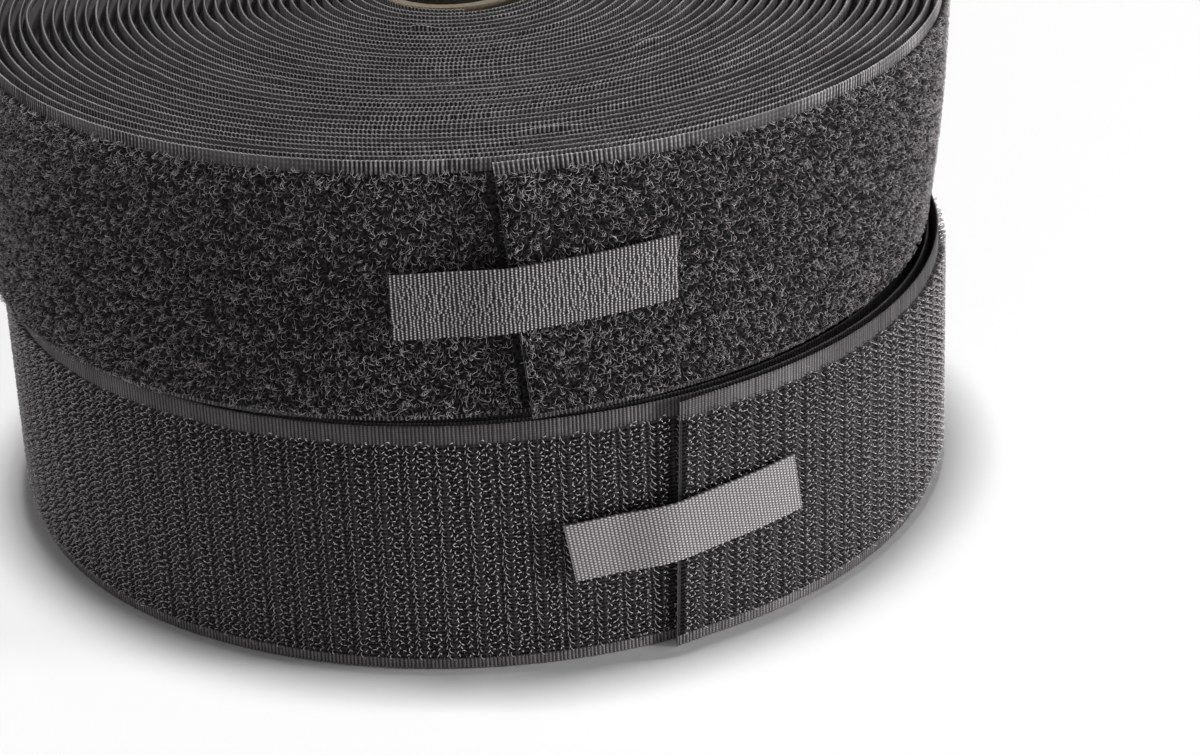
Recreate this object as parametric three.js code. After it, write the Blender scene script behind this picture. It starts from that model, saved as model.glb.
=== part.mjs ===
// Hook and loop fastening tape: a roll of loop tape standing on a roll of hook tape.
// Each tape is wound on a cardboard core, and a short closure strip holds its free end down.
// Millimetres, +Z up. The origin is on the table, under the axis of the lower roll.

import * as THREE from "three";

// Tape, alike on both rolls
const tapeWidth = 50;
const groundThickness = 0.9;
const seatGap = 0.2; // between pieces that lie against each other
const turnClearance = 0.6; // between the face of one turn and the back of the next

// Rolls, to the woven ground of the tape at its free end
const hookRollRadius = 94.1;
const loopRollRadius = 95.3;

// The fastening face that stands on the ground, between two bare selvedges
const hookHeight = 1.55;
const loopHeight = 1.6;
const hookSelvedge = 3.8;
const loopSelvedge = 2.6;

// Cardboard cores
const coreBoreRadius = 13;
const coreWall = 2;

// Free ends: where the cut edge stands, in degrees counter-clockwise from +X
const hookEndAzimuth = -69.5;
const loopEndAzimuth = -85.5;
const tailBeyondStrip = 36; // from the strip to the line where the tail leaves the roll
const tailJoint = 0.4; // cut between the tail and the rest of the tape

// Closure strips: the lap is the part of the length that lies on the tail,
// the rise is counted from the middle of the tape, and the tilt is in degrees
const stripGround = 0.7;
const stripFace = 0.6;
const stripEdgeMargin = 0.8; // bare ground along the edges of a strip
const hookStripLength = 47;
const hookStripWidth = 11.8;
const hookStripLap = 26;
const hookStripRise = 1.1;
const hookStripTilt = 3.9;
const loopStripLength = 50.4;
const loopStripWidth = 12.2;
const loopStripLap = 29.2;
const loopStripRise = 0.6;
const loopStripTilt = 1.9;
const stepStart = 1; // from the cut edge of the tail to where the strip starts down
const stepLength = 9; // over which the strip comes down to the turn below

// Where the loop roll stands on the hook roll
const loopRollPlace = new THREE.Vector3(-1.2, 2, tapeWidth + seatGap);

// Fineness of the curves: how far a chord may lie inside its arc, and the least step in radians
const windingSag = 0.45;
const faceSag = 0.08;
const stripSag = 0.02;
const leastStep = 0.01;
const coreSegments = 48;

const fullTurn = 2 * Math.PI;
const windingStart = coreBoreRadius + coreWall + seatGap;

// Everything along a tape is placed by the angle wound back from its free end.
// The tape is wound outward clockwise, so that angle grows counter-clockwise.
function tapeOf({ rollRadius, faceHeight, endAzimuth, strip }) {
  const pitch = groundThickness + seatGap + faceHeight + turnClearance;
  const endRadius = rollRadius - groundThickness;
  return {
    pitch,
    endRadius,
    woundAngle: (fullTurn * (endRadius - windingStart)) / pitch,
    endAngle: THREE.MathUtils.degToRad(endAzimuth),
    tailAngle: (strip.lap + tailBeyondStrip) / endRadius,
    jointAngle: tailJoint / endRadius,
    faceBase: groundThickness + seatGap,
    faceTop: groundThickness + seatGap + faceHeight,
    radius: (angle) => endRadius - (pitch * angle) / fullTurn,
  };
}

// Angles from start to end whose chords keep within the sag
function anglesAlong(tape, start, end, sag) {
  const angles = [];
  let angle = start;
  while (angle < end - leastStep) {
    angles.push(angle);
    angle += 2 * Math.acos(1 - sag / tape.radius(angle));
  }
  return [...angles, end];
}

function pointAt(tape, angle, radius) {
  const azimuth = tape.endAngle + angle;
  return new THREE.Vector2(radius * Math.cos(azimuth), radius * Math.sin(azimuth));
}

// The two faces of a band that follows a radius along the given angles
function bandFaces(tape, angles, innerRadius, thickness) {
  return {
    inner: angles.map((angle) => pointAt(tape, angle, innerRadius(angle))),
    outer: angles.map((angle) => pointAt(tape, angle, innerRadius(angle) + thickness)),
  };
}

function bandSolid(faces, bottom, height) {
  const outline = new THREE.Shape([...faces.outer, ...[...faces.inner].reverse()]);
  const solid = new THREE.ExtrudeGeometry(outline, { depth: height, bevelEnabled: false });
  return solid.translate(0, 0, bottom);
}

// Least distance from the outer face of the winding to the back of its other turns
function leastGap(faces, angles) {
  const back = new THREE.Line3();
  const point = new THREE.Vector3();
  const nearest = new THREE.Vector3();
  let least = Infinity;
  faces.outer.forEach((place, i) => {
    point.set(place.x, place.y, 0);
    for (let j = 0; j + 1 < angles.length; j += 1) {
      if (Math.abs(angles[i] - angles[j]) < fullTurn / 2) continue;
      back.start.set(faces.inner[j].x, faces.inner[j].y, 0);
      back.end.set(faces.inner[j + 1].x, faces.inner[j + 1].y, 0);
      back.closestPointToPoint(point, true, nearest);
      least = Math.min(least, nearest.distanceTo(point));
    }
  });
  return least;
}

function coreSolid() {
  const coreRadius = coreBoreRadius + coreWall;
  const profile = [
    new THREE.Vector2(coreBoreRadius, 0),
    new THREE.Vector2(coreRadius, 0),
    new THREE.Vector2(coreRadius, tapeWidth),
    new THREE.Vector2(coreBoreRadius, tapeWidth),
    new THREE.Vector2(coreBoreRadius, 0),
  ];
  return new THREE.LatheGeometry(profile, coreSegments).rotateX(Math.PI / 2);
}

// Radius that a strip rests on: the tail, then down over the cut edge to the turn below
function stripBed(tape, angle) {
  const pastEdge = -angle * tape.endRadius;
  const down = THREE.MathUtils.smoothstep(pastEdge, stepStart, stepStart + stepLength);
  return tape.radius(angle) + tape.faceTop + seatGap - down * tape.pitch;
}

// A strip lies on the roll with its length turned up by the tilt
function tiltOnRoll(solid, tape, strip) {
  const tilt = THREE.MathUtils.degToRad(strip.tilt);
  const middleAngle = tape.endAngle + (strip.lap - strip.length / 2) / tape.endRadius;
  const middleHeight = tapeWidth / 2 + strip.rise;
  const place = solid.getAttribute("position");
  for (let i = 0; i < place.count; i += 1) {
    const radius = Math.hypot(place.getX(i), place.getY(i));
    const along = (Math.atan2(place.getY(i), place.getX(i)) - middleAngle) * tape.endRadius;
    const across = place.getZ(i);
    const turned = along * Math.cos(tilt) - across * Math.sin(tilt);
    const height = along * Math.sin(tilt) + across * Math.cos(tilt);
    const azimuth = middleAngle + turned / tape.endRadius;
    place.setXYZ(i, radius * Math.cos(azimuth), radius * Math.sin(azimuth), middleHeight + height);
  }
  return solid;
}

// One layer of a strip, from its base above the bed, drawn in from the strip's edges by the margin
function stripLayer(tape, strip, base, thickness, margin) {
  const start = (strip.lap - strip.length + margin) / tape.endRadius;
  const end = (strip.lap - margin) / tape.endRadius;
  const angles = anglesAlong(tape, start, end, stripSag);
  const faces = bandFaces(tape, angles, (angle) => stripBed(tape, angle) + base, thickness);
  const width = strip.width - 2 * margin;
  return tiltOnRoll(bandSolid(faces, -width / 2, width), tape, strip);
}

function rollOf(spec) {
  const { name, face, faceHeight, selvedge, strip, colours } = spec;
  const tape = tapeOf(spec);
  const groundRadius = tape.radius;
  const faceRadius = (angle) => tape.radius(angle) + tape.faceBase;
  const faceWidth = tapeWidth - 2 * selvedge;
  const tailRoot = tape.tailAngle + tape.jointAngle;

  const windingAngles = anglesAlong(tape, tailRoot, tape.woundAngle, windingSag);
  const winding = bandFaces(tape, windingAngles, groundRadius, groundThickness);
  console.log(`${name} winding, least gap to itself ${leastGap(winding, windingAngles).toFixed(2)} mm`);

  const turnAngles = anglesAlong(tape, tailRoot, tape.tailAngle + fullTurn, faceSag);
  const turnFace = bandFaces(tape, turnAngles, faceRadius, faceHeight);
  const tailAngles = anglesAlong(tape, 0, tape.tailAngle, faceSag);
  const tail = bandFaces(tape, tailAngles, groundRadius, groundThickness);
  const tailFace = bandFaces(tape, tailAngles, faceRadius, faceHeight);

  const pieces = {
    [`${name}_core`]: [coreSolid(), colours.core],
    [`${name}_winding`]: [bandSolid(winding, 0, tapeWidth), colours.ground],
    [`${name}_${face}`]: [bandSolid(turnFace, selvedge, faceWidth), colours.face],
    [`${name}_tail`]: [bandSolid(tail, 0, tapeWidth), colours.ground],
    [`${name}_tail_${face}`]: [bandSolid(tailFace, selvedge, faceWidth), colours.face],
    [`${name}_strip_grip`]: [stripLayer(tape, strip, 0, stripFace, stripEdgeMargin), colours.face],
    [`${name}_strip`]: [stripLayer(tape, strip, stripFace + seatGap, stripGround, 0), colours.strip],
  };
  const roll = new THREE.Group();
  for (const [piece, [solid, color]] of Object.entries(pieces)) {
    const mesh = new THREE.Mesh(solid, new THREE.MeshStandardMaterial({ color, roughness: 0.9 }));
    mesh.name = piece;
    roll.add(mesh);
  }
  return roll;
}

const hookRoll = rollOf({
  name: "hook",
  face: "hooks",
  rollRadius: hookRollRadius,
  faceHeight: hookHeight,
  selvedge: hookSelvedge,
  endAzimuth: hookEndAzimuth,
  strip: {
    length: hookStripLength,
    width: hookStripWidth,
    lap: hookStripLap,
    rise: hookStripRise,
    tilt: hookStripTilt,
  },
  colours: { core: 0xa08a68, ground: 0x2c2c2d, face: 0x333334, strip: 0x8c8c8c },
});

const loopRoll = rollOf({
  name: "loop",
  face: "pile",
  rollRadius: loopRollRadius,
  faceHeight: loopHeight,
  selvedge: loopSelvedge,
  endAzimuth: loopEndAzimuth,
  strip: {
    length: loopStripLength,
    width: loopStripWidth,
    lap: loopStripLap,
    rise: loopStripRise,
    tilt: loopStripTilt,
  },
  colours: { core: 0xa08a68, ground: 0x303031, face: 0x3a3a3b, strip: 0x757575 },
});
loopRoll.position.copy(loopRollPlace);

const tapeRolls = new THREE.Group();
tapeRolls.name = "hook_and_loop_tape_rolls";
tapeRolls.add(hookRoll, loopRoll);

export default tapeRolls;
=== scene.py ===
import math
from types import SimpleNamespace

import bpy
import numpy as np
from mathutils import Matrix, Vector


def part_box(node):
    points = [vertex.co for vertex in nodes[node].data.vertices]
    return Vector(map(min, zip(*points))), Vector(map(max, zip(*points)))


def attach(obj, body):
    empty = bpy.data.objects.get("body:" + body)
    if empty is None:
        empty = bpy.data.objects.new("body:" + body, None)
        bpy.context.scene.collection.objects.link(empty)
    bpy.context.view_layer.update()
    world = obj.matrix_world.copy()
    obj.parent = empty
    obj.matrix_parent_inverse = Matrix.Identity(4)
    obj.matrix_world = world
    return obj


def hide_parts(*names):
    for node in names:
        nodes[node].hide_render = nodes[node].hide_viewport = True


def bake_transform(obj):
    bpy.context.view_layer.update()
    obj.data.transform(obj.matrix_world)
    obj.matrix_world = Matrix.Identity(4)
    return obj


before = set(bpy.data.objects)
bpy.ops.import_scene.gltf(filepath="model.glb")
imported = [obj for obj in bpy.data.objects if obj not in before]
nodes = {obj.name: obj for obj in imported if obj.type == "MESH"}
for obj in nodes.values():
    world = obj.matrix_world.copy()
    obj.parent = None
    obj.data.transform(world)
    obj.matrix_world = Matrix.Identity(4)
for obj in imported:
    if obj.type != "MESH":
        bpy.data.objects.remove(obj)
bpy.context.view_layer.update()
mm = 0.001
fullTurn = 2 * math.pi
rng = np.random.default_rng(11)
print("frame loaded:", len(nodes), "nodes")


# Shader sockets with arithmetic

class Wire:
    def __init__(self, tree, socket=None):
        self.tree = tree
        self.socket = socket

    def feed(self, target, value):
        if isinstance(value, Wire):
            self.tree.links.new(value.socket, target)
        else:
            target.default_value = value

    def node(self, kind, settings=None, sockets=None, out=0):
        made = self.tree.nodes.new("ShaderNode" + kind)
        for key, value in (settings or {}).items():
            setattr(made, key, value)
        for key, value in (sockets or {}).items():
            self.feed(made.inputs[key], value)
        return Wire(self.tree, made.outputs[out])

    def math(self, operation, *values):
        return self.node("Math", dict(operation=operation), dict(enumerate(values)))

    def __add__(self, other):
        return self.math("ADD", self, other)

    def __sub__(self, other):
        return self.math("SUBTRACT", self, other)

    def __rsub__(self, other):
        return self.math("SUBTRACT", other, self)

    def __mul__(self, other):
        return self.math("MULTIPLY", self, other)

    def sine(self):
        return self.math("SINE", self)

    def power(self, exponent):
        return self.math("POWER", self, exponent)

    def axis(self, letter):
        return self.node("SeparateXYZ", None, dict(Vector=self), out=letter)

    def between(self, low, high):
        return self.node("MapRange", dict(clamp=True), {0: self, 1: low, 2: high})

    def mix(self, colourA, colourB):
        settings = dict(data_type="RGBA", clamp_factor=True)
        return self.node("Mix", settings, {0: self, 6: colourA, 7: colourB}, out=2)


def newMaterial(name, roughness, sheen=0.0, specular=0.3):
    material = bpy.data.materials.new(name)
    material.use_nodes = True
    shader = material.node_tree.nodes["Principled BSDF"]
    shader.inputs["Roughness"].default_value = roughness
    shader.inputs["Specular IOR Level"].default_value = specular
    shader.inputs["Sheen Weight"].default_value = sheen
    return material, Wire(material.node_tree), shader


def grey(value):
    return (value * 1.04, value * 0.975, value * 0.995, 1)  # the faintly warm black of dyed nylon


def bump(wire, shader, height, distance):
    made = wire.node("Bump", None, dict(Height=height, Distance=distance, Strength=1.0))
    wire.feed(shader.inputs["Normal"], made)


def noise(wire, place, scale, detail=2.0):
    return wire.node("TexNoise", None, dict(Vector=place, Scale=scale, Detail=detail))


def threadMap(wire):
    place = wire.node("UVMap", dict(uv_map="tape"))
    return place, place.axis("X"), place.axis("Y")


def selvedgeWeave(name, look):
    # weft ribs over gaps painted dark as shade, crossed by warp ends; painted highlight where the weft
    # turns back at the edge
    material, wire, shader = newMaterial(name, roughness=0.75, sheen=0.05, specular=0.12)
    place, along, fromEdge = threadMap(wire)
    ribTurn = along * (fullTurn / look["weft"]) + math.pi / 2
    rib = (ribTurn.sine() * 0.5 + 0.5).power(look["sharp"])
    warp = (fromEdge * (fullTurn / look["warp"])).sine() * 0.5 + 0.5
    yarn = noise(wire, place, look["yarn"], 3.0)
    patch = noise(wire, place, look["patch"]).between(0.3, 0.7)
    worn = noise(wire, place, look["wornPatch"]).between(0.42, 0.6)
    rib = rib * (1 - worn * look["wear"]) + worn * (look["wear"] * look["wornLight"])
    # painted shade on the back of the tape, behind its edge
    unshadedFront = fromEdge.between(*look["backShade"])
    # painted highlight: a bright line along the very edge of the tape
    rim = 1 - fromEdge.math("ABSOLUTE", fromEdge).between(look["rim"] * 0.5, look["rim"] * 1.6)
    # turns inside the roll are painted darker, as shade
    inside = along.between(look["outerTurn"], look["outerTurn"] * 1.02)
    thread = rib * (warp * 0.3 + patch * 0.45 + yarn * 0.5 + 0.05)
    thread = thread + rim * (patch * 0.35 + yarn * 0.45 + 0.12)
    light = (thread + look["haze"]) * (1 - inside * look["paintedInnerShade"]) * (unshadedFront * 0.5 + 0.5)
    wire.feed(shader.inputs["Base Color"], light.mix(grey(look["dark"]), grey(look["light"])))
    bump(wire, shader, rib + warp * 0.35 + yarn * 0.6, look["relief"])
    return material


def stripWeave(name, look):
    # the height of the woven threads comes with the mesh; their colour follows it, painted light on the
    # crowns and shade between
    material, wire, shader = newMaterial(name, roughness=0.75, sheen=0.05, specular=0.15)
    place = wire.node("UVMap", dict(uv_map="tape"))
    thread = wire.node("UVMap", dict(uv_map="thread")).axis("X")
    yarn = noise(wire, place, look["yarn"], 3.0)
    # painted light and shade: the crowns of the threads palest, the hollows darkest
    light = thread.power(look["sharp"]) * (yarn * 0.9 + 0.55) + yarn * 0.16 - 0.06
    wire.feed(shader.inputs["Base Color"], light.mix(grey(look["dark"]), grey(look["light"])))
    bump(wire, shader, thread + yarn * 0.5, look["relief"])
    return material


def pileFloor(name, look):
    material, wire, shader = newMaterial(name, roughness=0.95, specular=0.05)
    place, along, across = threadMap(wire)
    light = noise(wire, place, look["matting"], 4.0).between(0.4, 0.75)
    if look["warpLine"]:
        line = (along * (fullTurn / look["warpLine"]) + look["warpShift"]).sine().between(0.55, 1.0)
        rib = (across * (fullTurn / look["rib"])).sine() * 0.5 + 0.5
        light = light * 0.4 + line * 0.3 + rib * 0.4 - 0.1
    frayed = 1 - along.between(look["fray"] * 0.7, look["fray"])
    cloth = light.mix(grey(look["dark"]), grey(look["light"]))
    wire.feed(shader.inputs["Base Color"], frayed.mix(cloth, grey(look["cut"])))
    bump(wire, shader, light, look["relief"])
    return material


def fibre(name, look):
    # every strand has its own tone; its roots are painted in the shade of the others, its crown painted
    # lighter as a highlight
    material, wire, shader = newMaterial(name, look["roughness"], specular=look["specular"])
    place = wire.node("UVMap", dict(uv_map="strand"))
    tone, along = place.axis("X"), place.axis("Y")
    clear = (along * look["arch"]).sine().between(*look["crown"])
    grain = noise(wire, wire.node("TexCoord", None, None, out="Object"), look["grain"], 2.0)
    shade = clear * (1 - look["root"]) + look["root"]
    light = (tone.power(look["spread"]) * 0.85 + grain * 0.3 - 0.07) * shade
    wire.feed(shader.inputs["Base Color"], light.mix(grey(look["dark"]), grey(look["light"])))
    wire.feed(shader.inputs["Roughness"], grain * 0.3 + (look["roughness"] - 0.15))
    return material


def cardBoard(name, axis, look):
    material, wire, shader = newMaterial(name, roughness=0.9)
    place = wire.node("TexCoord", None, None, out="Object")
    fromAxis = wire.node("VectorMath", dict(operation="SUBTRACT"), {0: place, 1: (axis.x, axis.y, 0)})
    x, y, z = (fromAxis.axis(letter) for letter in "XYZ")
    radius = (x * x + y * y).power(0.5)
    plies = ((radius - look["bore"]) * (fullTurn / look["ply"])).sine() * 0.5 + 0.5
    lap = (wire.math("ARCTAN2", y, x) + z * (fullTurn / look["lapPitch"])).sine().between(0.985, 0.999)
    pulp = noise(wire, place, look["pulp"], 4.0)
    light = pulp * 0.7 + plies * 0.25 - lap * 0.35
    wire.feed(shader.inputs["Base Color"], light.mix(look["dark"], look["light"]))
    bump(wire, shader, pulp + plies * 0.3 - lap, look["relief"])
    return material


# Mesh helpers

def meshPiece(name, points, quads, materials, slots=None, maps=None):
    mesh = bpy.data.meshes.new(name)
    mesh.vertices.add(len(points))
    mesh.vertices.foreach_set("co", np.ascontiguousarray(points, np.float32).ravel())
    mesh.loops.add(quads.size)
    mesh.loops.foreach_set("vertex_index", np.ascontiguousarray(quads, np.int32).ravel())
    mesh.polygons.add(len(quads))
    mesh.polygons.foreach_set("loop_start", np.arange(0, quads.size, 4, dtype=np.int32))
    mesh.polygons.foreach_set("use_smooth", np.ones(len(quads), bool))
    for material in materials:
        mesh.materials.append(material)
    if slots is not None:
        mesh.polygons.foreach_set("material_index", np.ascontiguousarray(slots, np.int32))
    for mapName, uv in (maps or {}).items():
        layer = mesh.uv_layers.new(name=mapName)
        layer.data.foreach_set("uv", np.ascontiguousarray(uv, np.float32).ravel())
    mesh.update(calc_edges=True)
    piece = bpy.data.objects.new(name, mesh)
    bpy.context.scene.collection.objects.link(piece)
    return piece


def gridPlaces(rows, columns):
    return np.indices((rows, columns)).reshape(2, -1)  # row and column of every place


def gridQuads(rows, columns, closed):
    # quads between neighbouring rows of a rows x columns grid of points
    row, column = gridPlaces(rows - 1, columns if closed else columns - 1)
    after = (column + 1) % columns
    corners = [row * columns + column, (row + 1) * columns + column]
    corners += [(row + 1) * columns + after, row * columns + after]
    return np.stack(corners, -1).reshape(-1, 4)


strandSides = 3
strandSpread = (0.88, 1.12)  # how unevenly thick the strands are, and how unevenly bent the hooks
cellFill = 0.7  # share of a strand's square in the bake's map that the strand covers


def tubes(paths, radius, tone):
    # thin tubes along many short paths at once: paths is strand x point x 3, and each strand has one tone
    count, steps, _ = paths.shape
    heading = np.gradient(paths, axis=1)
    heading /= np.linalg.norm(heading, axis=2, keepdims=True)
    span = paths[:, -1] - paths[:, 0]
    crown = paths[:, steps // 2] - paths[:, 0]
    plane = np.cross(span, crown)
    plane /= np.linalg.norm(plane, axis=1, keepdims=True) + 1e-12
    sideA = np.cross(heading, plane[:, None])
    sideA /= np.linalg.norm(sideA, axis=2, keepdims=True) + 1e-12
    sideB = np.cross(heading, sideA)
    turn = fullTurn * np.arange(strandSides) / strandSides
    ring = np.cos(turn)[:, None] * sideA[:, :, None] + np.sin(turn)[:, None] * sideB[:, :, None]
    points = paths[:, :, None] + radius[:, :, None, None] * ring
    quads = gridQuads(steps, strandSides, closed=True)
    quads = quads[None] + (np.arange(count) * steps * strandSides)[:, None, None]
    return points.reshape(-1, 3), quads.reshape(-1, 4), strandMaps(count, steps, tone)


def strandMaps(count, steps, tone):
    # every strand gets a small square of its own in the bake's map, and one tone in the other
    perRow = math.ceil(math.sqrt(count))
    cell = 1 / perRow
    row, column = gridPlaces(steps - 1, strandSides)
    u = np.stack([column, column, column + 1, column + 1], -1) / strandSides
    v = np.stack([row, row + 1, row + 1, row], -1) / (steps - 1)
    inside = np.stack([u, v], -1).reshape(-1, 4, 2) * cellFill + (1 - cellFill) / 2
    corner = np.stack(np.divmod(np.arange(count), perRow)[::-1], -1) * cell
    cells = (corner[:, None, None] + inside[None] * cell).reshape(-1, 2)
    tone, along = np.broadcast_arrays(tone[:, None], v.reshape(1, -1))
    return {"OFBake": cells, "strand": np.stack([tone, along], -1).reshape(-1, 2)}


def joined(first, second):
    # two sets of tubes as one mesh, each in its own half of the bake's map
    points = np.vstack([first[0], second[0]])
    quads = np.vstack([first[1], second[1] + len(first[0])])
    bake = np.vstack([first[2]["OFBake"] * (0.5, 1), second[2]["OFBake"] * (0.5, 1) + (0.5, 0)])
    strand = np.vstack([first[2]["strand"], second[2]["strand"]])
    return points, quads, {"OFBake": bake, "strand": strand}


# The rolls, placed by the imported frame

coreGap = 0.2 * mm  # between the core and the first turn
snugTurns = 0.6     # outer turns that lie evenly
unevenness = dict(  # waves along the tape: size, rate over the angle wound, phase
    slack=((1.0, 2.13, 0.4), (0.6, 3.31, 2.0), (0.35, 7.17, 0.0)),
    rise=((1.0, 1.09, 1.0), (0.7, 0.37, 0.0), (0.5, 2.57, 0.6)),
)
kinkLook = dict(    # where a turn inside the roll bulges or stands proud
    fromTurn=1.3,   # counted from the free end
    stray=2.0,      # radians off an even spacing
    span=(3, 9),    # degrees
    out=(-0.4 * mm, 0.8 * mm),
    up=(-0.21 * mm, 0.7 * mm),
)
fall = dict(        # where turns under the outer one have fallen inward
    side=math.radians(-22),
    fromTurn=0.75,
    over=2,         # turns from none to all of it
    lastTurn=26,
    fade=22,        # turns from all of it to none
)
tuck = dict(side=math.radians(-28), curve=2.5)  # where a roll is drawn in at its foot


def rollFromFrame(name, look):
    low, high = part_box(name + "_core")
    axis = (low + high) / 2
    tail = np.array([v.co for v in nodes[name + "_tail"].data.vertices])
    fromAxis = tail[:, :2] - np.array(axis)[:2]
    azimuth = np.arctan2(fromAxis[:, 1], fromAxis[:, 0])
    roll = SimpleNamespace(name=name, axis=axis, bottom=low.z, width=high.z - low.z, **look)
    roll.coreRadius = (high.x - low.x) / 2
    roll.endRadius = np.linalg.norm(fromAxis, axis=1).max()  # outer face of the ground at the cut edge
    roll.endAngle = azimuth.min()
    roll.tailAngle = azimuth.max() - azimuth.min()
    roll.pitch = (roll.endRadius - roll.coreRadius - roll.ground - coreGap) / roll.turns
    roll.woundAngle = fullTurn * roll.turns
    firstKink = roll.tailAngle + kinkLook["fromTurn"] * fullTurn
    stray = rng.uniform(-kinkLook["stray"], kinkLook["stray"], roll.kinks)
    roll.kinkAt = np.linspace(firstKink, roll.woundAngle, roll.kinks) + stray
    roll.kinkSpan = np.radians(rng.uniform(*kinkLook["span"], roll.kinks))
    roll.kinkOut = rng.uniform(*kinkLook["out"], roll.kinks)
    roll.kinkUp = rng.uniform(*kinkLook["up"], roll.kinks)
    return roll


def kinked(roll, angle, amounts):
    total = np.zeros_like(angle)
    for place, span, amount in zip(roll.kinkAt, roll.kinkSpan, amounts):
        total += amount * np.exp(-(((angle - place) / span) ** 2))
    return total


def angleAt(roll, length):
    # angle wound back from the cut edge after a length of tape
    root = np.sqrt(np.maximum(roll.endRadius**2 - roll.pitch * length / math.pi, 0))
    return (roll.endRadius - root) * fullTurn / roll.pitch


def lengthAt(roll, angle):
    return roll.endRadius * angle - roll.pitch * angle**2 / (2 * fullTurn)


def waved(angle, waves):
    return sum(size * np.sin(rate * angle + phase) for size, rate, phase in waves)


def slack(roll, angle):
    # turns lie unevenly inside the roll, and snug on the outer turn
    inside = np.clip((angle - roll.tailAngle - snugTurns * fullTurn) / fullTurn, 0, 1)
    wave = waved(angle, unevenness["slack"])
    turn = (angle - roll.tailAngle) / fullTurn
    fallen = np.clip(turn - fall["fromTurn"], 0, fall["over"]) / fall["over"]
    fallen = fallen * np.clip((fall["lastTurn"] - turn) / fall["fade"], 0, 1)
    onSide = np.clip(np.cos(roll.endAngle + angle - fall["side"]), 0, 1) ** 2
    return inside * roll.slack * wave - roll.loose * fallen * onSide + kinked(roll, angle, roll.kinkOut)


def rise(roll, angle):
    # upper edges of neighbouring turns stand at slightly different heights, under another roll only lower
    inside = np.clip((angle - snugTurns * fullTurn) / fullTurn, 0, 1)
    wave = waved(angle, unevenness["rise"])
    if roll.under:
        wave = wave - sum(size for size, rate, phase in unevenness["rise"])
    return inside * roll.rise * wave + kinked(roll, angle, roll.kinkUp)


def onRoll(roll, angle, across, height):
    azimuth = roll.endAngle + angle
    level = across / roll.width
    drawn = np.clip(1 - level, 0, 1) ** tuck["curve"] * np.clip(np.cos(azimuth - tuck["side"]), 0, 1) ** 2
    wound = roll.endRadius - roll.pitch * angle / fullTurn
    radius = wound + slack(roll, angle) - roll.tuck * drawn + height
    x = roll.axis.x + radius * np.cos(azimuth) + roll.lean * (level - 0.5)
    y = roll.axis.y + radius * np.sin(azimuth)
    z = roll.bottom + across + rise(roll, angle) * level
    return np.stack(np.broadcast_arrays(x, y, z), -1)


def cutShift(roll, across):
    # how far the cut edge stands behind the end of the frame's tail, as an angle
    return (roll.trim - roll.slant * (across / roll.width - 0.5)) / roll.endRadius


def sprung(roll, angle):
    return roll.lift * np.clip(1 - angle * roll.endRadius / springLength, 0, 1) ** 2


def onTape(roll, angle, across, height):
    # the end of the tape is cut a little askew, so the tail shears toward its cut edge
    toEdge = np.clip(1 - angle / roll.tailAngle, 0, 1)
    return onRoll(roll, angle + cutShift(roll, across) * toEdge, across, height + sprung(roll, angle))


springLength = 13 * mm  # of the tape's end that stands off the roll
hookRoll = rollFromFrame("hook", dict(
    turns=46,
    kinks=0,            # places inside the roll where a turn bulges or stands proud
    ground=0.42 * mm,
    face=1.6 * mm,      # height of the hooks over the ground
    floor=0.3 * mm,     # matted ground of the hook field
    upperEdge=3.8 * mm,  # plain woven edges
    lowerEdge=2.3 * mm,
    slack=0.12 * mm,    # how unevenly the turns lie
    loose=2.2 * mm,     # how far the turns under the outer one fall in on the right
    rise=0.14 * mm,     # how unevenly their upper edges stand
    under=True,         # the other roll stands on it
    lean=0.0,           # how far the top of the roll stands right of its foot
    tuck=0.0,           # how far the foot of its right side is drawn in
    slant=-2.0 * mm,    # how far the cut edge runs askew from top to foot
    trim=0.9 * mm,      # how far it stands back
    lift=0.9 * mm,      # how far it springs off the roll
    ribPitch=0.72 * mm,
    ribbedTurns=14,     # whose upper edge shows, the rest lie under the other roll
    body="hook_roll",
    freeEnd="hook_free_end",
    closure="hook_closure",
))
loopRoll = rollFromFrame("loop", dict(
    turns=38,
    kinks=46,
    ground=0.42 * mm,
    face=1.7 * mm,
    floor=0.7 * mm,
    upperEdge=2.6 * mm,
    lowerEdge=1.1 * mm,
    slack=0.05 * mm,
    loose=0.0,
    rise=0.07 * mm,
    under=False,
    lean=2.0 * mm,
    tuck=2.8 * mm,
    slant=6.8 * mm,
    trim=0.0,
    lift=0.7 * mm,
    ribPitch=0.82 * mm,
    ribbedTurns=38,
    body="loop_roll",
    freeEnd="loop_free_end",
    closure="loop_closure",
))
for roll in (loopRoll, hookRoll):
    print(roll.name, "turn pitch", round(roll.pitch / mm, 2), "mm")


def rideTail(piece, roll):
    # the free end bends away at its hinge; here it keeps its shape in world space, its hinge direction
    # worked out but not used
    root, edge = (Vector(onTape(roll, angle, 0.0, 0.0).tolist()) for angle in (roll.tailAngle, 0.0))
    towardEdge = edge - root
    towardEdge.z = 0
    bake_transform(piece)


# Tape: woven ground with the floor of its face, as one ribbon

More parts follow.
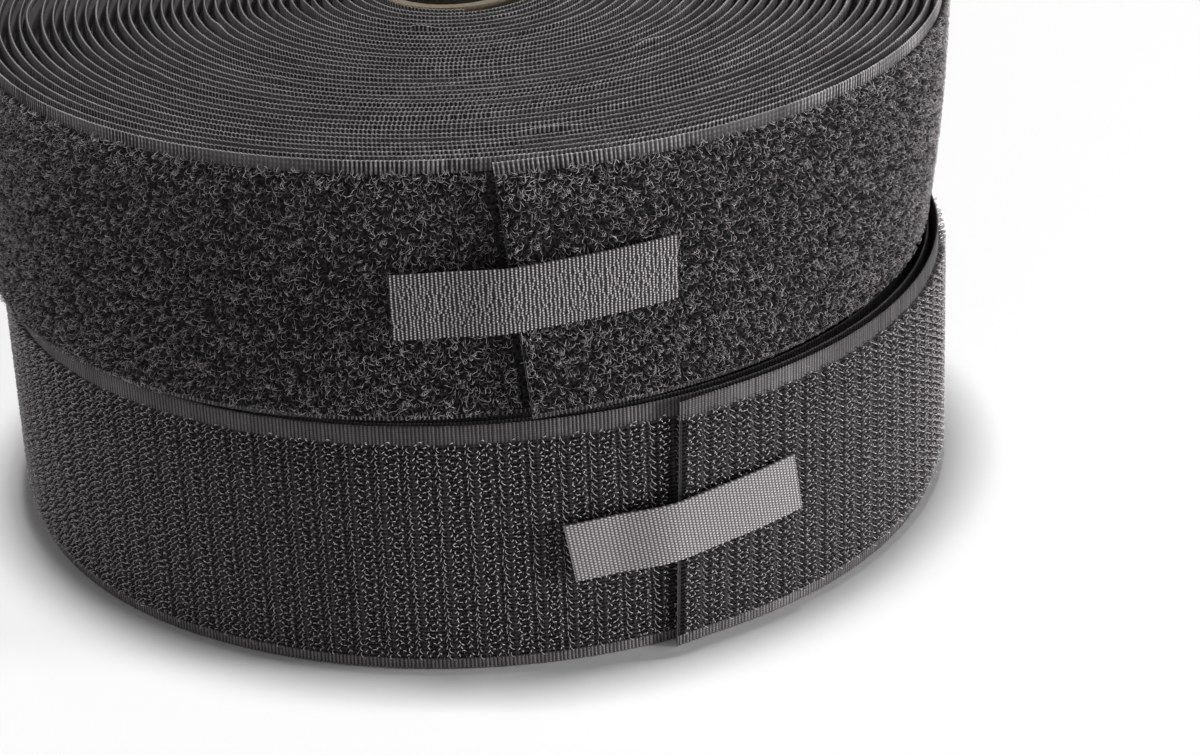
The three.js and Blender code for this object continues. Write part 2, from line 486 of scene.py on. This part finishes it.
tapeLooks = {
    "hook": dict(
        dark=0.015, light=0.23, warp=0.46 * mm,
        sharp=1.0,   # how narrow the ribs are against their gaps, painted dark as shade
        haze=0.05,
        paintedInnerShade=0.5,     # how much darker the turns inside the roll are painted, as shade
        foot=1.3,    # painted light and shade: tone of the lower edge against the upper one
        wear=0.3,    # how far the ribs are worn smooth in places
    ),
    "loop": dict(
        dark=0.004, light=0.46, warp=0.84 * mm, sharp=2.6, haze=0.0, paintedInnerShade=0.25, foot=0.45, wear=0.8,
    ),
}
tapeFinish = dict(  # alike on both tapes, noise scales per metre of tape
    rim=0.13 * mm, relief=0.1 * mm, yarn=1400.0, patch=60.0, wornPatch=34.0, wornLight=0.22,
    backShade=(-0.6 * mm, -0.25 * mm),  # behind the edge, where the painted shade on the back of the tape begins
)
floorLooks = {
    "hook": dict(
        dark=0.006, light=0.09, matting=1500.0, relief=0.3 * mm, warpLine=2.8 * mm, warpShift=-3.0,
        rib=0.75 * mm, fray=0.4 * mm, cut=0.09,
    ),
    "loop": dict(
        dark=0.004, light=0.04, matting=1500.0, relief=0.3 * mm, warpLine=0, fray=0.3 * mm, cut=0.03,
    ),
}
ribbonLook = dict(step=3.2 * mm, soft=0.35 * mm)  # step along the tape, and rounding of its edges
selvedgeLook = dict(
    relief=0.07 * mm,
    crest=0.14 * mm,     # of the ribs at the very edge
    shoulder=0.6,        # part of the crest beside it
    thickness=0.02 * mm,
    back=1.3 * mm,       # how far it reaches down the back of the tape
    round=0.2 * mm,
    mapRound=0.3 * mm,
    stray=0.07,          # ribs off their even places, in pitches
    even=0.35,           # height of the lowest ribs
)
footTurns = 2            # whose lower edge is ribbed


def ribbon(name, roll, start, end, materials):
    first, last = lengthAt(roll, start), lengthAt(roll, end)
    steps = int((last - first) / ribbonLook["step"]) + 2
    angle = angleAt(roll, np.linspace(first, last, steps))
    back, floor, soft = -roll.ground, roll.floor, ribbonLook["soft"]
    foot = 2 * selvedgeLook["crest"]  # the ribs of the selvedge reach past the ground
    top, faceTop, faceFoot = roll.width - foot, roll.width - roll.upperEdge, roll.lowerEdge
    section = np.array([
        (back, foot + soft / 2), (back, top - soft / 2), (back / 2, top), (0, top - soft / 2),
        (0, faceTop), (floor, faceTop - soft), (floor, faceFoot + soft), (0, faceFoot),
        (0, foot + soft / 2), (back / 2, foot),
    ])
    points = onTape(roll, angle[:, None], section[None, :, 1], section[None, :, 0])
    quads = gridQuads(steps, len(section), closed=True)
    slots = np.tile([0, 0, 0, 0, 1, 1, 1, 0, 0, 0], steps - 1)
    caps = [(9, 0, 1, 2), (2, 3, 8, 9), (3, 4, 7, 8), (4, 5, 6, 7)]
    lastRow = (steps - 1) * len(section)
    quads = np.vstack([quads, caps, np.array(caps)[:, ::-1] + lastRow])
    slots = np.concatenate([slots, [0, 0, 0, 1] * 2])
    along = np.repeat(lengthAt(roll, angle), len(section))[quads]
    across = np.tile(section[:, 1], steps)[quads]
    fromEdge = np.minimum(across - foot, top - across)  # selvedges count from the edge
    across = np.where(slots[:, None] == 1, across, fromEdge)
    tapeMap = np.stack([along, across], -1)
    return meshPiece(name, points.reshape(-1, 3), quads, materials, slots, {"tape": tapeMap})


# Ribbed selvedge: the weft turns back at the edge of the tape, one small rib after another

def selvedge(name, roll, start, end, top, material):
    first, last = lengthAt(roll, start), lengthAt(roll, end)
    steps = 2 * int((last - first) / roll.ribPitch) + 1
    length = np.linspace(first, last, steps)
    moved = rng.normal(0, selvedgeLook["stray"] * roll.ribPitch, steps)
    moved[[0, -1]] = 0
    angle = angleAt(roll, length + moved)
    rib = np.where(np.arange(steps) % 2 == 0, 1.0, -1.0) * rng.uniform(selvedgeLook["even"], 1, steps)
    edge, inward, wide = (roll.width, -1, roll.upperEdge) if top else (0.0, 1, roll.lowerEdge)
    swell = selvedgeLook["relief"] * rib + selvedgeLook["thickness"]
    crest = selvedgeLook["crest"] * (rib - 1)
    back, flat = -roll.ground - swell, np.zeros(steps)
    heights = np.stack([back, back, flat - roll.ground / 2, swell, swell], 1)
    depths = np.array([selvedgeLook["back"], selvedgeLook["round"], 0.0, selvedgeLook["round"], wide])
    shoulder = crest * selvedgeLook["shoulder"]
    depths = depths[None] - np.stack([flat, shoulder, crest, shoulder, flat], 1)
    points = onTape(roll, angle[:, None], edge + inward * depths, heights)
    columns = depths.shape[1]
    quads = gridQuads(steps, columns, closed=False)
    if top:
        quads = quads[:, ::-1]
    along = np.repeat(length, columns)
    mapRound = selvedgeLook["mapRound"]
    fromEdge = np.tile([-selvedgeLook["back"], -mapRound, 0.0, mapRound, wide], steps)
    tapeMap = np.stack([along, fromEdge], -1)[quads.ravel()]
    return meshPiece(name, points.reshape(-1, 3), quads, [material], maps={"tape": tapeMap})


# Loop pile: curled strands that rise from the ground, arch over and go back in

pileLook = dict(
    # the lower layer's strands are painted darker, as shade deep in the pile
    under=dict(
        perSquareMm=0.45, length=(1.2 * mm, 2.2 * mm), crown=(0.5, 0.8),
        radius=0.045 * mm, tone=(0.0, 0.3),
    ),
    upper=dict(
        perSquareMm=1.95, length=(0.9 * mm, 1.8 * mm), crown=(0.72, 1.02),
        radius=0.036 * mm, tone=(0.2, 1.0),
    ),
    root=0.3,            # part of the pile's height where the strands begin
    arch=0.6,            # power of the strands' arch, flatter on top where it is smaller
    curl=2.3,            # how far a strand turns from end to end
    wave=0.6,
    shift=0.2 * mm,      # of the pile's foot up the tape
    over=0.8 * mm,       # reach of the roots onto the upper edge
    tipGap=0.15 * mm,    # left free beside the cut edge
    bare=1.6 * mm,       # pressed flat beside the cut edge of the turn above
    # crown: the part of a strand painted lighter; root: the painted shade at its roots
    strand=dict(
        dark=0.004, light=0.8, roughness=0.5, specular=0.2, arch=math.pi, crown=(0.1, 0.75), root=0.1,
        spread=1.6, grain=1800.0,
    ),
)


def loopPaths(count, face, layer):
    # strand x point x (along, across, height): curls that lie on the pile, both ends down in it
    steps = 6
    t = np.linspace(0, 1, steps + 1)[None]
    length = rng.uniform(*layer["length"], (count, 1))
    curl = rng.normal(0, pileLook["curl"], (count, 1))
    wave = rng.normal(0, pileLook["wave"], (count, 1))
    heading = rng.uniform(0, fullTurn, (count, 1)) + curl * (t - 0.5) + wave * np.sin(fullTurn * t)
    along = np.cumsum(np.cos(heading), 1) * length / steps
    across = np.cumsum(np.sin(heading), 1) * length / steps
    crown = rng.uniform(*layer["crown"], (count, 1))
    root = pileLook["root"]
    height = face * (root + (crown - root) * np.sin(math.pi * t) ** pileLook["arch"])
    centred = [values - values.mean(1, keepdims=True) for values in (along, across)]
    return np.stack([*centred, height], -1)


def scatter(count, alongSpan, acrossSpan):
    return rng.uniform(*alongSpan, count), rng.uniform(*acrossSpan, count)


def clearOfCut(roll, along, across, bare):
    # not in the narrow band that the cut edge of the turn above presses flat
    beside = (fullTurn + cutShift(roll, across) - angleAt(roll, along)) * roll.endRadius
    return (beside < 0) | (beside > bare)


def loopPile(name, roll, start, end, material):
    lowAlong, highAlong = lengthAt(roll, start), lengthAt(roll, end)
    foot, top = roll.lowerEdge + pileLook["shift"], roll.width - roll.upperEdge + pileLook["over"]
    layers = []
    for layer in (pileLook["under"], pileLook["upper"]):
        count = int((highAlong - lowAlong) * (top - foot) / mm**2 * layer["perSquareMm"])
        along, across = scatter(count, (lowAlong, highAlong), (foot, top))
        clear = clearOfCut(roll, along, across, pileLook["bare"])
        along, across = along[clear], across[clear]
        paths = loopPaths(len(along), roll.face, layer)
        length = np.clip(along[:, None] + paths[:, :, 0], max(lowAlong, pileLook["tipGap"]), None)
        points = onTape(roll, angleAt(roll, length), across[:, None] + paths[:, :, 1], paths[:, :, 2])
        radius = layer["radius"] * rng.uniform(*strandSpread, (len(along), 1)) * np.ones(paths.shape[1])
        layers.append(tubes(points, radius, rng.uniform(*layer["tone"], len(along))))
    verts, quads, maps = joined(*layers)
    return meshPiece(name, verts, quads, [material], maps=maps)


# Hooks: stiff strands in staggered columns, each arching over to a cut tip

hookLook = dict(
    repeat=5.5 * mm,     # the columns along the tape come again after this length
    columns=(            # angles in degrees, scatter is how unevenly the hooks of a column stand
        dict(at=0.0, stagger=0.0, scatter=0.04, twist=56, raised=0.0,
             lean=52, turn=155, bend=0.54 * mm, stem=0.35 * mm, tone=0.88),
        dict(at=1.05 * mm, stagger=0.5, scatter=0.08, twist=-40, raised=0.3,
             lean=40, turn=200, bend=0.27 * mm, stem=0.6 * mm, tone=0.7),
        dict(at=1.75 * mm, stagger=0.05, scatter=0.1, twist=30, raised=0.5,
             lean=30, turn=195, bend=0.27 * mm, stem=0.6 * mm, tone=0.65),
        dict(at=2.4 * mm, stagger=0.45, scatter=0.1, twist=-75, raised=0.8,
             lean=10, turn=190, bend=0.28 * mm, stem=0.7 * mm, tone=0.72),
        dict(at=3.1 * mm, stagger=0.9, scatter=0.1, twist=-35, raised=0.5,
             lean=30, turn=195, bend=0.27 * mm, stem=0.6 * mm, tone=0.65),
        dict(at=3.8 * mm, stagger=0.4, scatter=0.08, twist=50, raised=0.4,
             lean=40, turn=200, bend=0.27 * mm, stem=0.6 * mm, tone=0.7),
        dict(at=4.6 * mm, stagger=0.4, scatter=0.08, twist=-34, raised=0.0,
             lean=52, turn=140, bend=0.42 * mm, stem=0.35 * mm, tone=0.5),
    ),
    row=1.42 * mm,       # across the tape
    firstRow=-0.6,       # in rows from the foot of the field
    radius=0.08 * mm,
    taper=(1.3, 0.6),    # of the radius at the root and at the tip
    toneSpread=(0.85, 1.1),
    heightSpread=(0.92, 1.02),
    leanSpread=0.08,     # radians
    twistSpread=3.0,     # radians, times the scatter of its column
    sway=0.04,           # along the tape, times the height
    shift=0.2 * mm,      # of the field up the tape
    cutGap=0.6 * mm,     # from the cut edge to the first roots
    reach=0.3 * mm,      # of a hook back past the first roots
    tipGap=0.15 * mm,    # left free beside the cut edge
    bare=1.2 * mm,       # flattened beside the cut edge of the turn above
    stub=dict(           # what is left of a cut loop's other leg, placed from the root of its hook
        along=0.25 * mm, across=-0.75 * mm, tall=0.7 * mm, spread=(0.7, 1.15), splay=0.15,
        bow=(0.1, -0.25), tone=0.4,
    ),
    # crown: the part of a hook painted lighter as a highlight; root: the painted shade at its roots
    strand=dict(
        dark=0.01, light=0.93, roughness=0.38, specular=0.25, arch=math.pi / 1.25, crown=(0.45, 0.95),
        root=0.05, spread=1.0, grain=1800.0,
    ),
)


def hookPaths(kinds, face):
    # strand x point x (along, across, height): a stem that leans up, a crook and a tip that hangs down
    def of(key):
        return np.array([column[key] for column in hookLook["columns"]])[kinds][:, None]

    count = len(kinds)
    stemSteps, crookSteps = 2, 7
    turn = np.radians(of("turn"))
    turned = np.concatenate([np.zeros(stemSteps), (np.arange(crookSteps) + 0.5) / crookSteps]) * turn
    bend = of("bend") * rng.uniform(*strandSpread, (count, 1))
    inStem = np.arange(stemSteps + crookSteps) < stemSteps
    pieces = np.where(inStem, of("stem") / stemSteps, bend * turn / crookSteps)
    heading = np.radians(of("lean")) + rng.normal(0, hookLook["leanSpread"], (count, 1)) - turned
    foot = np.zeros((count, 1))
    height = np.hstack([foot, np.cumsum(np.cos(heading) * pieces, 1)])
    up = np.hstack([foot, np.cumsum(np.sin(heading) * pieces, 1)])
    height *= face / height.max(1, keepdims=True) * rng.uniform(*hookLook["heightSpread"], (count, 1))
    twist = np.radians(of("twist")) + rng.normal(0, hookLook["twistSpread"], (count, 1)) * of("scatter")
    along = -up * np.sin(twist) + rng.normal(0, hookLook["sway"], (count, 1)) * height
    return np.stack([along, up * np.cos(twist) + of("raised") * height, height], -1)


def stubPaths(count):
    stub = hookLook["stub"]
    t = np.linspace(0, 1, 3)[None]
    tall = stub["tall"] * rng.uniform(*stub["spread"], (count, 1))
    along = (rng.normal(0, stub["splay"], (count, 1)) + stub["bow"][0] * t**2) * tall
    across = (rng.normal(0, stub["splay"], (count, 1)) + stub["bow"][1] * t**2) * tall
    return np.stack([along * t, across * t, tall * t], -1)


def hookTubes(points, tone):
    taper = np.ones(points.shape[1])
    taper[0], taper[-1] = hookLook["taper"]
    return tubes(points, np.broadcast_to(hookLook["radius"] * taper, points.shape[:2]), tone)


def hookField(name, roll, start, end, material):
    lowAlong, highAlong = max(lengthAt(roll, start), hookLook["cutGap"]), lengthAt(roll, end)
    repeat, stub = hookLook["repeat"], hookLook["stub"]
    repeats = np.arange(math.floor(lowAlong / repeat), math.ceil(highAlong / repeat) + 1)
    keys = ("at", "stagger", "scatter", "tone")
    places, staggers, scatters, tones = (np.array([c[key] for c in hookLook["columns"]]) for key in keys)
    columns = (repeats[:, None] * repeat + places).ravel()
    kinds = np.tile(np.arange(len(places)), len(repeats))
    inside = (columns >= lowAlong) & (columns < highAlong)
    columns, kinds = columns[inside], kinds[inside]
    foot, top = roll.lowerEdge + hookLook["shift"], roll.width - roll.upperEdge + hookLook["shift"]
    rows = math.ceil((top - foot) / hookLook["row"]) + 1
    column, row = gridPlaces(len(columns), rows)
    kind = kinds[column]
    across = foot + (row + staggers[kind] + hookLook["firstRow"]) * hookLook["row"]
    across = across + rng.normal(0, hookLook["row"], len(column)) * scatters[kind]
    along = columns[column] + rng.normal(0, hookLook["row"], len(column)) * scatters[kind]
    kept = clearOfCut(roll, along, across, hookLook["bare"]) & (across > foot) & (across < top)
    kind, along, across = kind[kept], along[kept], across[kept]
    tone = tones[kind] * rng.uniform(*hookLook["toneSpread"], len(kind))
    hooks = hookPaths(kind, roll.face)
    stubs = stubPaths(len(kind)) + np.array([stub["along"], stub["across"], 0.0])
    nearest = max(lowAlong - hookLook["reach"], hookLook["tipGap"])
    tubesOf = []
    for shape, shade in ((hooks, tone), (stubs, tone * stub["tone"])):
        length = np.clip(along[:, None] + shape[:, :, 0], nearest, None)
        place = onTape(roll, angleAt(roll, length), across[:, None] + shape[:, :, 1], shape[:, :, 2])
        tubesOf.append(hookTubes(place, shade))
    verts, quads, maps = joined(*tubesOf)
    return meshPiece(name, verts, quads, [material], maps=maps)


# Both tapes

def buildTape(roll, field, strandMaterial, strandNode, sectors):
    outerEnd = roll.tailAngle + fullTurn
    look = dict(tapeLooks[roll.name], **tapeFinish)
    look.update(weft=roll.ribPitch, outerTurn=lengthAt(roll, outerEnd))
    woven = selvedgeWeave(roll.name + "Weave", look)
    # the lower edge's copy of the weave: painted lighter on the hook roll for floor bounce light, darker
    # on the loop roll for shade
    footLightShadeLook = dict(look, dark=look["dark"] * look["foot"], light=look["light"] * look["foot"])
    footLightShadeWeave = selvedgeWeave(roll.name + "FootWeave", footLightShadeLook)
    floor = pileFloor(roll.name + "Floor", floorLooks[roll.name])
    winding = ribbon(roll.name + "_tape", roll, roll.tailAngle, roll.woundAngle, [woven, floor])
    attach(winding, roll.body)
    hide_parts(roll.name + "_winding")
    tail = ribbon(roll.name + "_tape_end", roll, 0.0, roll.tailAngle, [woven, floor])
    rideTail(tail, roll)
    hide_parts(roll.name + "_tail")

    onWinding, onTail = [], []
    for top in (True, False):
        side = "upper" if top else "lower"
        ribbedTo = roll.tailAngle + (roll.ribbedTurns if top else footTurns) * fullTurn
        ribbedTo = min(ribbedTo, roll.woundAngle)
        material = woven if top else footLightShadeWeave
        edge = selvedge(f"{roll.name}_{side}_selvedge", roll, roll.tailAngle, ribbedTo, top, material)
        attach(edge, roll.body)
        onWinding.append(edge)
        edge = selvedge(f"{roll.name}_{side}_selvedge_end", roll, 0.0, roll.tailAngle, top, material)
        rideTail(edge, roll)
        onTail.append(edge)

    cuts = np.linspace(roll.tailAngle, outerEnd, sectors + 1)
    for index, (start, end) in enumerate(zip(cuts[:-1], cuts[1:])):
        strands = field(f"{roll.name}_{strandNode}_{index + 1}", roll, start, end, strandMaterial)
        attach(strands, roll.body)
        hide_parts(f"{roll.name}_{strandNode}")
        onWinding.append(strands)
    strands = field(f"{roll.name}_{strandNode}_end", roll, 0.0, roll.tailAngle, strandMaterial)
    rideTail(strands, roll)
    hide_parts(f"{roll.name}_tail_{strandNode}")
    onTail.append(strands)

    length, tailLength = lengthAt(roll, roll.woundAngle), lengthAt(roll, roll.tailAngle)
    length - tailLength
    print(roll.name, "tape wound,", round(length, 1), "m, free end", round(tailLength / mm, 1), "mm")


loopStrand = fibre("loopStrand", pileLook["strand"])
hookStrand = fibre("hookStrand", hookLook["strand"])
buildTape(loopRoll, loopPile, loopStrand, "pile", 8)
buildTape(hookRoll, hookField, hookStrand, "hooks", 4)


# Closure strips: short woven pieces laid over the cut edge

loopStrip = dict(
    length=50.4 * mm,
    width=12.2 * mm,
    lap=29.2 * mm,       # on the tape's end, past its cut edge the strip lies on the turn below
    rise=0.1 * mm,       # above the middle of the tape
    tilt=math.radians(2.7),
    cut=0.0,             # how far askew its ends are cut
    down=0.35,           # part of the step to the turn below that it follows
    sunk=0.25 * mm,      # into the pile
    thickness=0.6 * mm,
    grip=0.5 * mm,       # depth of the mating face under the weave
    weft=0.71 * mm,      # from rib to rib along the strip
    bead=0.5 * mm,       # between the warp ends that cross the ribs
    beadDepth=0.6,
    jog=0.9,             # how far a rib may step aside between the borders
    ribSharp=1.2,
    border=4.3 * mm,     # plain ribs outside this distance from its middle line
    relief=0.09 * mm,
    look=dict(dark=0.003, light=0.92, sharp=2.4, yarn=2600.0, relief=0.05 * mm),
)
hookStrip = dict(
    length=46 * mm,
    width=11.7 * mm,
    lap=26 * mm,
    rise=0.6 * mm,
    tilt=math.radians(3.9),
    cut=0.09,
    down=0.5,
    sunk=0.1 * mm,
    thickness=0.55 * mm,
    grip=0.5 * mm,
    weft=0.7 * mm,
    bead=0.55 * mm,
    beadDepth=0.9,
    jog=0.0,
    ribSharp=0.5,
    border=0.0,
    relief=0.07 * mm,
    look=dict(dark=0.05, light=0.72, sharp=1.5, yarn=2600.0, relief=0.05 * mm),
)
step = dict(start=0.8 * mm, length=12 * mm)  # where a strip comes down over the cut edge
jogs = dict(count=(80, 30), beads=1.5)       # steps aside along and across, each this many beads wide
meshSteps = dict(rib=7, bead=5)              # of the mesh over each rib and each bead


def onStrip(roll, strip, along, across, height):
    # along and across count from the middle of the strip, in its own tilted directions
    along = along - strip["cut"] * across
    arc = along * math.cos(strip["tilt"]) - across * math.sin(strip["tilt"])
    up = along * math.sin(strip["tilt"]) + across * math.cos(strip["tilt"])
    angle = (strip["lap"] - strip["length"] / 2 + arc) / roll.endRadius
    down = np.clip((-angle * roll.endRadius - step["start"]) / step["length"], 0, 1)
    down = down * down * (3 - 2 * down)
    off = np.where(angle < 0, roll.lift * (1 - down), sprung(roll, angle))
    bed = roll.face - strip["sunk"] - down * strip["down"] * roll.pitch + off
    return onRoll(roll, angle, roll.width / 2 + strip["rise"] + up, bed + height)


def wovenThreads(strip, along, across):
    # height of the threads from 0 to 1: beaded ribs, which step aside here and there between the borders
    middle = np.abs(across) < strip["border"]
    aside = rng.normal(0, strip["jog"], jogs["count"])
    ribCell = np.floor(along / strip["weft"] + 0.5).astype(int)
    beadCell = np.floor(across / (jogs["beads"] * strip["bead"])).astype(int)
    ribTurn = fullTurn * along / strip["weft"] + aside[ribCell, beadCell] * middle
    rib = np.cos(ribTurn) * 0.5 + 0.5
    over = np.cos(fullTurn * across / strip["bead"]) * np.cos(ribTurn / 2)  # over one rib, under the next
    bead = 1 - strip["beadDepth"] * (0.5 - 0.5 * over)
    return rib ** strip["ribSharp"] * bead


def closureStrip(roll, strip, field):
    name = roll.name + "_closure"
    rows = int(strip["length"] / strip["weft"] * meshSteps["rib"]) + 1
    columns = int(strip["width"] / strip["bead"] * meshSteps["bead"]) + 1
    half, side = strip["length"] / 2, strip["width"] / 2
    lengths, widths = np.linspace(-half, half, rows), np.linspace(-side, side, columns)
    along, across = np.meshgrid(lengths, widths, indexing="ij")
    under = strip["grip"]
    thread = wovenThreads(strip, along, across)
    face = under + strip["thickness"] + strip["relief"] * (2 * thread - 1)
    upper = onStrip(roll, strip, along, across, face).reshape(-1, 3)
    lower = onStrip(roll, strip, along, across, under + 0 * along).reshape(-1, 3)
    quads = gridQuads(rows, columns, closed=False)
    rim = np.concatenate([
        np.arange(columns), np.arange(1, rows) * columns + columns - 1,
        (rows - 1) * columns + np.arange(columns - 2, -1, -1), np.arange(rows - 2, 0, -1) * columns,
    ])
    following = np.roll(rim, -1)
    walls = np.stack([rim, following, following + len(upper), rim + len(upper)], -1)
    quads = np.vstack([quads[:, ::-1], quads + len(upper), walls[:, ::-1]])
    flat = np.tile(np.stack([along.ravel(), across.ravel()], -1), (2, 1))
    weave = stripWeave(name + "Weave", strip["look"])
    threadHeight = np.tile(np.stack([thread.ravel(), 0 * thread.ravel()], -1), (2, 1))
    maps = {"tape": flat[quads.ravel()], "thread": threadHeight[quads.ravel()]}
    woven = meshPiece(name, np.vstack([upper, lower]), quads, [weave], maps=maps)
    holdStrip(woven, roll, strip)
    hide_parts(roll.name + "_strip")
    grip = field(name + "_grip", roll, strip)
    holdStrip(grip, roll, strip)
    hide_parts(roll.name + "_strip_grip")
    print(name, "laid,", len(quads), "faces")


def holdStrip(piece, roll, strip):
    # the strip peels from the end past the cut edge; here it keeps its shape in world space, its ends
    # worked out but not used
    ends = [Vector(onStrip(roll, strip, s * strip["length"] / 2, 0.0, 0.0).tolist()) for s in (1, -1)]
    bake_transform(piece)


gripHookLook = dict(columns=36, rows=6, pitch=1.35 * mm, stagger=0.25, sunk=0.3 * mm, tone=(0.4, 0.8))
gripPileLook = dict(
    perSquareMm=0.9,
    spread=(0.48, 0.44),   # to each side of the middle, in lengths and widths of the strip
    squeeze=(0.5, 0.4),    # of a strand's lie along and across
    sunk=0.2 * mm,
    radius=0.08 * mm,
    tone=(0.3, 0.8),
)


def underStrip(roll, strip, along, across, paths):
    # strands that hang from the woven back of a strip
    depth = strip["grip"] - paths[:, :, 2]
    return onStrip(roll, strip, along[:, None] + paths[:, :, 0], across[:, None] + paths[:, :, 1], depth)


def gripHooks(name, roll, strip):
    look = gripHookLook
    column, row = gridPlaces(look["columns"], look["rows"])
    along = (column - (look["columns"] - 1) / 2) * look["pitch"]
    across = (row - (look["rows"] - 1) / 2 + look["stagger"] * (column % 2)) * hookLook["row"]
    paths = hookPaths(column % len(hookLook["columns"]), strip["grip"] + look["sunk"])
    points = underStrip(roll, strip, along, across, paths)
    verts, quads, maps = hookTubes(points, rng.uniform(*look["tone"], len(along)))
    piece = meshPiece(name, verts, quads, [hookStrand], maps=maps)
    return piece


def gripPile(name, roll, strip):
    look = gripPileLook
    count = int(strip["length"] * strip["width"] / mm**2 * look["perSquareMm"])
    half, side = look["spread"][0] * strip["length"], look["spread"][1] * strip["width"]
    along, across = scatter(count, (-half, half), (-side, side))
    paths = loopPaths(count, strip["grip"] + look["sunk"], pileLook["upper"]) * (*look["squeeze"], 1)
    points = underStrip(roll, strip, along, across, paths)
    radius = np.full(paths.shape[:2], look["radius"])
    verts, quads, maps = tubes(points, radius, rng.uniform(*look["tone"], count))
    piece = meshPiece(name, verts, quads, [loopStrand], maps=maps)
    return piece


closureStrip(loopRoll, loopStrip, gripHooks)
closureStrip(hookRoll, hookStrip, gripPile)


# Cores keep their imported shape

cardLook = dict(
    bore=13 * mm,
    ply=0.5 * mm,       # paper layers seen at the rim
    lapPitch=60 * mm,   # of the wound seam
    pulp=900.0,
    relief=0.15 * mm,
    # the card's own brown, darkened with painted shade for the inside of the roll
    dark=(0.09, 0.072, 0.052, 1),
    light=(0.3, 0.25, 0.185, 1),
)
for roll in (hookRoll, loopRoll):
    core = nodes[roll.name + "_core"]
    core.data.materials.clear()
    core.data.materials.append(cardBoard(roll.name + "Card", roll.axis, cardLook))
print("cores finished")


# Floor, light and camera

stageLook = dict(size=12.0, floor=0.98, sky=0.11, backdrop=1.0)


def buildStage():
    bpy.ops.mesh.primitive_plane_add(size=stageLook["size"], location=(0, 0, 0))
    floor = bpy.context.object
    floor.name = "floor"
    material, _, shader = newMaterial("paleFloor", roughness=0.9)
    shader.inputs["Base Color"].default_value = (stageLook["floor"],) * 3 + (1,)
    floor.data.materials.append(material)

    world = bpy.data.worlds.new("studio")
    bpy.context.scene.world = world
    world.use_nodes = True
    wire = Wire(world.node_tree)
    background = world.node_tree.nodes["Background"]
    kinds = ("Camera", "Glossy", "Transmission")
    seen, mirrored, through = (wire.node("LightPath", None, None, out=f"Is {kind} Ray") for kind in kinds)
    direct = wire.math("MAXIMUM", seen, wire.math("MAXIMUM", mirrored, through))
    strength = direct * (stageLook["backdrop"] - stageLook["sky"]) + stageLook["sky"]
    wire.feed(background.inputs["Strength"], strength)
    background.inputs["Color"].default_value = (1, 1, 1, 1)


lamps = {
    "keyLamp": dict(place=(2.3, -0.6, 0.18), size=0.5, watts=69.0),
    "topLamp": dict(place=(0.0, 0.1, 2.5), size=0.38, watts=49.0),
    "fillLamp": dict(place=(-0.8, -2.2, 1.0), size=1.2, watts=4.5),
}


def buildLamps():
    aim = Vector((0, 0, 0.05))
    for name, lamp in lamps.items():
        light = bpy.data.lights.new(name, "AREA")
        light.size = lamp["size"]
        light.energy = lamp["watts"]
        holder = bpy.data.objects.new(name, light)
        holder.location = lamp["place"]
        holder.rotation_euler = (aim - holder.location).to_track_quat("-Z", "Y").to_euler()
        bpy.context.scene.collection.objects.link(holder)


camera = dict(
    place=(0.0, -608.2 * mm, 305.8 * mm),
    yaw=math.radians(2.304),
    pitch=math.radians(25.663),
    roll=math.radians(-2.4),
    lens=97.51,
)


def buildCamera():
    yaw, pitch, roll = camera["yaw"], camera["pitch"], camera["roll"]
    forward = Vector((math.sin(yaw) * math.cos(pitch), math.cos(yaw) * math.cos(pitch), -math.sin(pitch)))
    level = Vector((math.cos(yaw), -math.sin(yaw), 0))
    above = level.cross(forward)
    right = math.cos(roll) * level + math.sin(roll) * above
    up = math.cos(roll) * above - math.sin(roll) * level
    data = bpy.data.cameras.new("photoCamera")
    data.sensor_fit = "HORIZONTAL"
    data.sensor_width = 36
    data.lens = camera["lens"]
    data.clip_start = 0.01
    holder = bpy.data.objects.new("photoCamera", data)
    turn = Matrix((right, up, -forward)).transposed().to_4x4()
    holder.matrix_world = Matrix.Translation(camera["place"]) @ turn
    bpy.context.scene.collection.objects.link(holder)
    bpy.context.scene.camera = holder


buildStage()
buildLamps()
buildCamera()
bpy.context.scene.view_settings.view_transform = "Standard"
print("stage, lamps and camera set")
